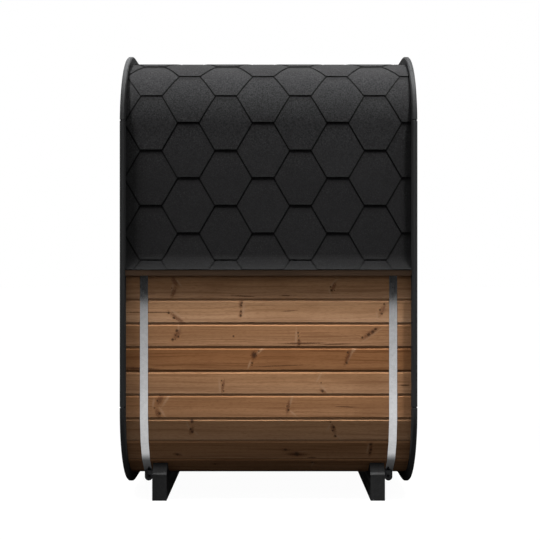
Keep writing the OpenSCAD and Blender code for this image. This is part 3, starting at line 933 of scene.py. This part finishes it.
def foot(node):
    """A beam with bevelled noses, its top cut to the underside of the boards."""
    low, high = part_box(node)
    bm = fresh()
    reach = high.y
    under = quarter(-1, -1)
    steps = 400
    line = []
    for (ya, za), (yb, zb) in zip(under, under[1:]):
        line += [(ya + (yb - ya) * (i / steps), za + (zb - za) * (i / steps)) for i in range(steps)]
    # where the bevel, at 45 degrees, meets the outline of the boards
    met = next(i for i, (y, z) in enumerate(line) if z - NOSE <= y + reach and y > -reach)
    left = [(-reach, 0.0), (-reach, NOSE), line[met]] + under[met // steps + 1:]
    prism(bm, left + [(-y, z) for y, z in reversed(left)], low.x, high.x)
    bmesh.ops.remove_doubles(bm, verts=bm.verts, dist=NEAR)
    outward(bm)
    edges = [e for e in bm.edges if e.calc_face_angle(0.0) > 0.3 and min(v.co.z for v in e.verts) < 0.19]
    chamfer_edges(bm, edges, 0.0025, 2)
    tone = layers(bm)[1]
    for face in bm.faces:
        face.normal_update()
        # tone 0 puts the painted shade on the side faces
        face[tone] = 0.0 if abs(face.normal.x) > 0.8 else 1.0
    piece(node + "_beam", bm, FOOT_WOOD, "black_wood", node)


foot("front_foot")
foot("rear_foot")


# --- roof of hexagonal shingles
PITCH = 0.364  # pitch of the tabs along a row
FLAT = 0.104  # flat lower edge of a tab
WIDE = 0.260  # a tab's greatest width
EXPOSED = 0.1345  # spacing of the rows
STRIP = 0.300  # height of a strip
SHEET_T = 0.0021  # thickness of the felt
UNDERLAY = 0.0022  # thickness of the layer below the tabs
OVERHANG = 0.006  # how far the felt stands beyond the batten
BEAD = 0.0062  # how far the bitumen shows beyond a tab's edge
BEAD_T = 0.0005
BEND = 0.012  # length of the flats in the bent felt
FIRST_ROW = 1.188  # height of the first whole row's lower edge
PHASES = (0.155, -0.027)  # where the tabs of every other row stand along X
STEP = 0.004  # spacing of the points of the felt's path
flare_z = BATTEN[1].z
eave = (-BATTEN[0].y, flare_z - 0.035)


def bend(start, end, lean0, lean1, count):
    """Points on a smooth curve between two points, with a lean at each."""
    chord = (end - start).length
    t0 = Vector((-math.sin(lean0), math.cos(lean0))) * chord
    t1 = Vector((-math.sin(lean1), math.cos(lean1))) * chord
    points = []
    for i in range(count):
        t = i / count
        points.append(start * (2 * t ** 3 - 3 * t ** 2 + 1) + t0 * (t ** 3 - 2 * t ** 2 + t)
                      + end * (3 * t ** 2 - 2 * t ** 3) + t1 * (t ** 3 - t ** 2))
    return points


def course():
    """The felt's path on one side, from the eave to the ridge: place and lean at every step."""
    edge, hinge = Vector(eave), Vector((SIDE_Y, flare_z))
    edge += (edge - hinge).normalized() * OVERHANG
    flat = hinge + Vector((0, 0.040))
    corners = [Vector(p) for p in quarter(1, 1)]
    before = corners[0] - Vector((0, 0.080))
    after = corners[-1] - Vector((0.080, 0))
    leans = [math.radians(a) for a in (3.0, 21.1, 41.5, 64.0, 82.5)]
    line = bend(edge, flat, math.radians(41), 0, 16) + [flat]
    line += bend(before, corners[0], 0, leans[0], 12)
    for i in range(4):
        line += bend(corners[i], corners[i + 1], leans[i], leans[i + 1], 24)
    line += bend(corners[-1], after, leans[-1], math.radians(90), 12)
    line += [after, Vector((0, TOP_Z))]
    path = []
    spare = 0.0
    for a, b in zip(line, line[1:]):
        run = (b - a).length
        if run < 1e-7:
            continue
        heading = (b - a) / run
        along = spare
        while along < run:
            place = a + heading * along
            path.append((place.x, place.y, math.atan2(-heading.x, heading.y)))
            along += STEP
        spare = along - run
    return path


COURSE = course()
ON_WALL = min(range(len(COURSE)), key=lambda i: abs(COURSE[i][1] - MID_Z * 1.3))
ZERO = ON_WALL * STEP - COURSE[ON_WALL][1]  # distance along the path less height, on the wall
CURVE = ZERO + HIGH_SEAM + 0.114  # from here the rows lie closer, over the curve
LAID = ((CURVE, CURVE), (CURVE + 0.13, CURVE + 0.117),
        (CURVE + 0.27, CURVE + 0.224), (CURVE + 1.5, CURVE + 1.454))
RUN = (len(COURSE) - 1) * STEP - (LAID[2][1] - LAID[2][0])


def on_roof(s, rise, side):
    """A point at a distance up the roof and a height above its boards."""
    for (s0, t0), (s1, t1) in zip(LAID, LAID[1:]):
        if s0 < s <= s1:
            s = t0 + (s - s0) * (t1 - t0) / (s1 - s0)
            break
    i = min(max(s / STEP, 0), len(COURSE) - 1.001)
    k = int(i)
    f = i - k
    a, b = COURSE[k], COURSE[k + 1]
    y, z, lean = (a[n] + (b[n] - a[n]) * f for n in range(3))
    extra = s - i * STEP
    y += -math.sin(lean) * extra
    z += math.cos(lean) * extra
    return side * (y + rise * math.cos(lean)), z + rise * math.sin(lean)


def shingle_row(bm, bottom, phase, side, rise=3.0, tabs=True, bead=False):
    """One row of tabs, laid flat, trimmed, thickened and bent over the roof."""
    row = bmesh.new()
    tone = row.faces.layers.float.new("tone")
    uv = row.loops.layers.uv.new("felt")
    half, hip, arm = FLAT / 2, WIDE / 2, PITCH / 2
    edge, lip, thick = (BEAD, BEAD * 0.5, BEAD_T) if bead else (0.0, 0.0, SHEET_T)
    shape = ((-half - edge, -lip), (half + edge, -lip), (hip + edge, EXPOSED - edge / 2),
             (arm, EXPOSED - edge), (arm, STRIP), (-arm, STRIP), (-arm, EXPOSED - edge),
             (-hip - edge, EXPOSED - edge / 2))
    if not tabs:
        shape = ((-arm, 0), (arm, 0), (arm, STRIP), (-arm, STRIP))
    first = -math.ceil((BODY_X + PITCH) / PITCH)
    for k in range(first, -first + 1):
        x = phase + k * PITCH
        if abs(x) > BODY_X + arm:
            continue
        face = row.faces.new([row.verts.new((x + px, bottom + py, 0)) for px, py in shape])
        face[tone] = 0.5 if bead else rng.random()
        for loop in face.loops:
            loop[uv].uv = (loop.vert.co.x, loop.vert.co.y - bottom)
    bmesh.ops.remove_doubles(row, verts=row.verts, dist=NEAR)
    cut(row, ((-BODY_X, 0, 0), (-1, 0, 0)), ((BODY_X, 0, 0), (1, 0, 0)),
        ((0, 0, 0), (0, -1, 0)), ((0, RUN, 0), (0, 1, 0)))
    s = 0.0
    while s < RUN:
        if bottom - 0.02 < s < bottom + STRIP + 0.02 and (s < 0.10 or s > 0.65):
            cut(row, ((0, s, 0), (0, 1, 0)), clear=False)
        s += BEND
    if not row.faces:
        row.free()
        return
    thicken(row, row.faces[:], (0, 0, thick))
    for face in row.faces:
        face.normal_update()
        face.material_index = 0 if bead or abs(face.normal.z) > 0.5 else 1
    for v in row.verts:
        s = v.co.y
        level = UNDERLAY + SHEET_T * (rise - 1 - (s - bottom) / EXPOSED) + v.co.z
        v.co.y, v.co.z = on_roof(s, level, side)
    outward(row)
    merge(bm, row)


def shingles(name, side, *nodes):
    felt = bmesh.new()
    felt.faces.layers.float.new("tone")
    felt.loops.layers.uv.new("felt")
    beads = felt.copy()
    shingle_row(felt, 0.0, 0.0, side, 1.6, tabs=False)
    k = -1
    bottom = ZERO + FIRST_ROW - EXPOSED
    while bottom < RUN:
        shingle_row(felt, bottom, PHASES[k % 2], side)
        shingle_row(beads, bottom, PHASES[k % 2], side, bead=True)
        k += 1
        bottom = ZERO + FIRST_ROW + k * EXPOSED
    piece(name + "_beads", beads, BITUMEN, "bitumen_shingle", tidy=False)
    piece(name, felt, [FELT, BITUMEN], "bitumen_shingle", *nodes, tidy=False)


shingles("roof_shingles_left", -1, "roof_left_side", "roof_left_corner", "roof_top")
shingles("roof_shingles_right", 1, "roof_right_side", "roof_right_corner")


def ridge_caps():
    """Overlapping caps along the ridge."""
    bm = bmesh.new()
    bm.faces.layers.float.new("tone")
    cover, lap, width = 0.205, 0.045, 0.25
    level = TOP_Z + UNDERLAY + SHEET_T * 3.5
    x = -BODY_X
    while x < BODY_X - 0.01:
        x1 = min(x + cover + lap, BODY_X)
        part = bmesh.new()
        cube(part, (x1 - x, width, SHEET_T), ((x + x1) / 2, 0, level))
        end = [v for v in part.verts if v.co.x > (x + x1) / 2]
        bmesh.ops.translate(part, vec=(0, 0, SHEET_T * 1.1), verts=end)
        tone = part.faces.layers.float.new("tone")
        shade = rng.random()
        for face in part.faces:
            face[tone] = shade
        merge(bm, part)
        x += cover
    piece("roof_ridge_caps", bm, FELT, "bitumen_shingle")


ridge_caps()

# --- straps and their rods
EAR_Y = SIDE_Y - 0.193
EAR_T = 0.004
STRAP_T = 0.0015
ROD_Z = (RODS[0].z + RODS[1].z) / 2


def strap_line():
    """The outline of the boards from ear to ear, over the top, with its bends rounded."""
    low_left, high = quarter(-1, -1), quarter(-1, 1)
    corner_line = [p for p in low_left if p[0] < -EAR_Y]
    a, b = low_left[len(corner_line) - 1], low_left[len(corner_line)]
    f = (-EAR_Y - a[0]) / (b[0] - a[0])
    end = (-EAR_Y, a[1] + (b[1] - a[1]) * f)
    half = [end] + corner_line[::-1] + high
    points = [Vector(p) for p in half] + [Vector((-y, z)) for y, z in reversed(half)]
    line = [points[0]]
    for before, p, after in zip(points, points[1:], points[2:]):
        for t in (-0.006, -0.002, 0.002, 0.006):
            toward = (before if t < 0 else after) - p
            line.append(p + toward.normalized() * abs(t))
    return line + [points[-1]]


def strap(end):
    """A steel band from ear to ear, and the ears that hold its rod."""
    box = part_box(end + "_strap")
    x0, x1 = box[0].x, box[1].x
    line = strap_line()
    e = 0.0006
    section = ((x0, e), (x0 + e, STRAP_T), (x1 - e, STRAP_T), (x1, e), (x1 - e, 0), (x0 + e, 0))
    bm = bmesh.new()
    loops = []
    for back, p, ahead in zip(line[:1] + line, line, line[1:] + line[-1:]):
        t = (ahead - back).normalized()
        loops.append([bm.verts.new((x, p.x - t.y * h, p.y + t.x * h)) for x, h in section])
    join(bm, loops)
    bm.faces.new(loops[0])
    bm.faces.new(loops[-1])
    piece(end + "_strap_band", bm, STEEL, "steel", end + "_strap")
    bm = bmesh.new()
    middle, half = (x0 + x1) / 2, (x1 - x0) / 2
    top = line[0].y - 0.0004
    turns = [math.pi * i / 16 for i in range(17)]
    outline = [(x0, top)] + [(middle - half * math.cos(a), ROD_Z - half * math.sin(a)) for a in turns]
    outline.append((x1, top))
    for s in (-1, 1):
        part = bmesh.new()
        part.faces.new([part.verts.new((x, s * EAR_Y - EAR_T / 2, z)) for x, z in outline])
        thicken(part, part.faces[:], (0, EAR_T, 0))
        outward(part)
        chamfer_edges(part, [e for e in part.edges if e.calc_face_angle(0.0) > 1.2], 0.0008, 2)
        merge(bm, part)
    # the ears in the darker steel: painted shade
    piece(end + "_strap_ears", bm, SHADED_STEEL, "steel")


strap("front")
strap("rear")


def rods():
    """Threaded rods under the floor, with a washer and a nut at each end."""
    bm = bmesh.new()
    reach = EAR_Y + EAR_T / 2
    for end in ("rear", "front"):
        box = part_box(end + "_strap")
        x = (box[0].x + box[1].x) / 2
        rod(bm, (x, -reach - 0.018, ROD_Z), (x, reach + 0.018, ROD_Z), 0.0049, 20, 0.0008)
        for s in (-1, 1):
            rod(bm, (x, s * (reach + 0.0001), ROD_Z), (x, s * (reach + 0.002), ROD_Z), 0.012, 28, 0.0004)
            rod(bm, (x, s * (reach + 0.002), ROD_Z), (x, s * (reach + 0.010), ROD_Z), 0.0095, 6, 0.0008)
    # the rods and nuts in the darker steel: painted shade
    piece("tension_rods_and_nuts", bm, SHADED_STEEL, "steel", "tension_rods")


rods()
dress("drip_battens", BATTEN_WOOD)

# --- studio
FILL = 0.46  # strength of the sky
FILL_ENDS = 0.36  # what the sky adds toward the two ends
FLOOR_RADIUS = 60.0
FLOOR_NEAR = 6.0  # distance on the floor that halves the place on its ramp
FLOOR_GLOW = (  # brightness of the floor in reflections, from far to near
    (0.0, 0.0), (0.148, 0.0), (0.156, 0.06), (0.164, 0.22), (0.174, 0.37), (0.190, 0.41),
    (0.25, 0.45), (0.30, 0.53), (0.37, 0.56), (0.42, 0.62), (0.48, 0.67), (0.54, 0.73),
    (0.60, 0.81), (0.68, 0.85), (0.90, 0.83), (0.96, 0.76), (1.0, 0.70))
LAMPS = (  # place, aim, size, spread in degrees, and power
    ("key_right", (2.15, -2.48, 8.08), (0.60, -0.90, 1.9), (0.56, 0.88), 27, 29.5),
    ("key_left", (-3.50, -2.48, 8.08), (-0.72, -0.90, 2.0), (1.60, 0.88), 24, 27.5),
    ("back", (-1.2, 7.5, 1.3), (0.0, 0.9, 1.2), (3.0, 1.0), 120, 175.0))


def studio_floor():
    """A floor that is white to the camera and catches faint shadows; in reflections a painted glow near the
    cabin, with a painted shadow under it.
    """
    bm = bmesh.new()
    bmesh.ops.create_circle(bm, cap_ends=True, segments=96, radius=FLOOR_RADIUS)
    mesh = as_mesh("studio_floor", bm)
    floor = show("studio_floor", mesh)
    f = Finish("studio_floor")
    rays = f.node("ShaderNodeLightPath").outputs
    place = f.place()
    away = f.math("MAXIMUM", f.math("SUBTRACT", f.length(place), 1.0), 0.0)
    # the reflected glow is a painted pool of light, brightest near the cabin
    near = f.math("DIVIDE", FLOOR_NEAR, f.plus(away, FLOOR_NEAR))
    ramp = f.node("ShaderNodeValToRGB", {0: near})
    for position, level in FLOOR_GLOW[1:-1]:
        ramp.color_ramp.elements.new(position)
    for element, (position, level) in zip(ramp.color_ramp.elements, FLOOR_GLOW):
        element.position = position
        element.color = grey(level)
    x, y = f.split(place)[:2]
    beside = f.math("ABSOLUTE", y)
    # painted shadow: the reflected glow darker under and beside the cabin
    under = f.plus(f.span(beside, 0.968, 1.012, 0.0, 0.80), f.span(beside, 0.70, 0.86, 0.02, 0.20))
    # a little painted light toward +X in the reflected glow
    under = f.times(under, f.span(x, -1.2, 1.2, 0.93, 1.08))
    glow = f.times(f.node("ShaderNodeRGBToBW", {0: ramp.outputs[0]}).outputs[0], under)
    dark = f.node("ShaderNodeBsdfDiffuse", {"Color": grey(0.01)}).outputs[0]
    catch = f.node("ShaderNodeBsdfDiffuse", {"Color": grey(0.06)}).outputs[0]
    both = f.node("ShaderNodeAddShader", {0: f.emission(0.97), 1: catch}).outputs[0]
    seen = f.emission(glow)
    other = f.node("ShaderNodeMixShader", {0: rays["Is Glossy Ray"], 1: dark, 2: seen}).outputs[0]
    plain = f.math("MAXIMUM", rays["Is Camera Ray"], rays["Is Transmission Ray"])
    whole = f.node("ShaderNodeMixShader", {0: plain, 1: other, 2: both}).outputs[0]
    mesh.materials.append(f.close(whole))


def studio_sky():
    """White to the camera, a soft fill on matt surfaces, and brighter behind in reflections."""
    w = Finish("studio", world=True)
    rays = w.node("ShaderNodeLightPath").outputs
    heading = w.split(w.node("ShaderNodeTexCoord").outputs["Generated"])
    sides = w.plus(w.times(w.math("ABSOLUTE", heading[0]), FILL_ENDS), FILL)
    matt = w.times(sides, w.math("SUBTRACT", 1.0, rays["Is Glossy Ray"]))
    gloss = w.times(rays["Is Glossy Ray"], w.span(heading[1], -0.3, 0.5, 0.01, 0.6))
    plain = w.math("MAXIMUM", rays["Is Camera Ray"], rays["Is Transmission Ray"])
    level = w.node("ShaderNodeMix", {0: plain, 2: w.plus(matt, gloss), 3: 1.0}, data_type="FLOAT")
    back = w.node("ShaderNodeBackground", {"Color": grey(1.0), "Strength": level.outputs[0]})
    bpy.context.scene.world = w.close(back.outputs[0])


def studio():
    scene = bpy.context.scene
    scene.view_settings.view_transform = "Standard"
    studio_floor()
    studio_sky()
    for name, place, aim, size, spread, power in LAMPS:
        lamp = bpy.data.lights.new(name, "AREA")
        lamp.shape = "RECTANGLE"
        lamp.size, lamp.size_y = size
        lamp.spread = math.radians(spread)
        lamp.energy = power
        obj = show(name, lamp)
        obj.location = place
        obj.rotation_euler = (Vector(aim) - Vector(place)).to_track_quat("-Z", "Y").to_euler()
        obj.visible_camera = False
    lens = bpy.data.cameras.new("camera")
    lens.sensor_width = 36
    lens.lens = 67.18
    camera = show("camera", lens)
    camera.location = (0.007, -5.8955, 1.1387)
    camera.rotation_euler = (math.radians(90), 0, 0)
    scene.camera = camera


studio()
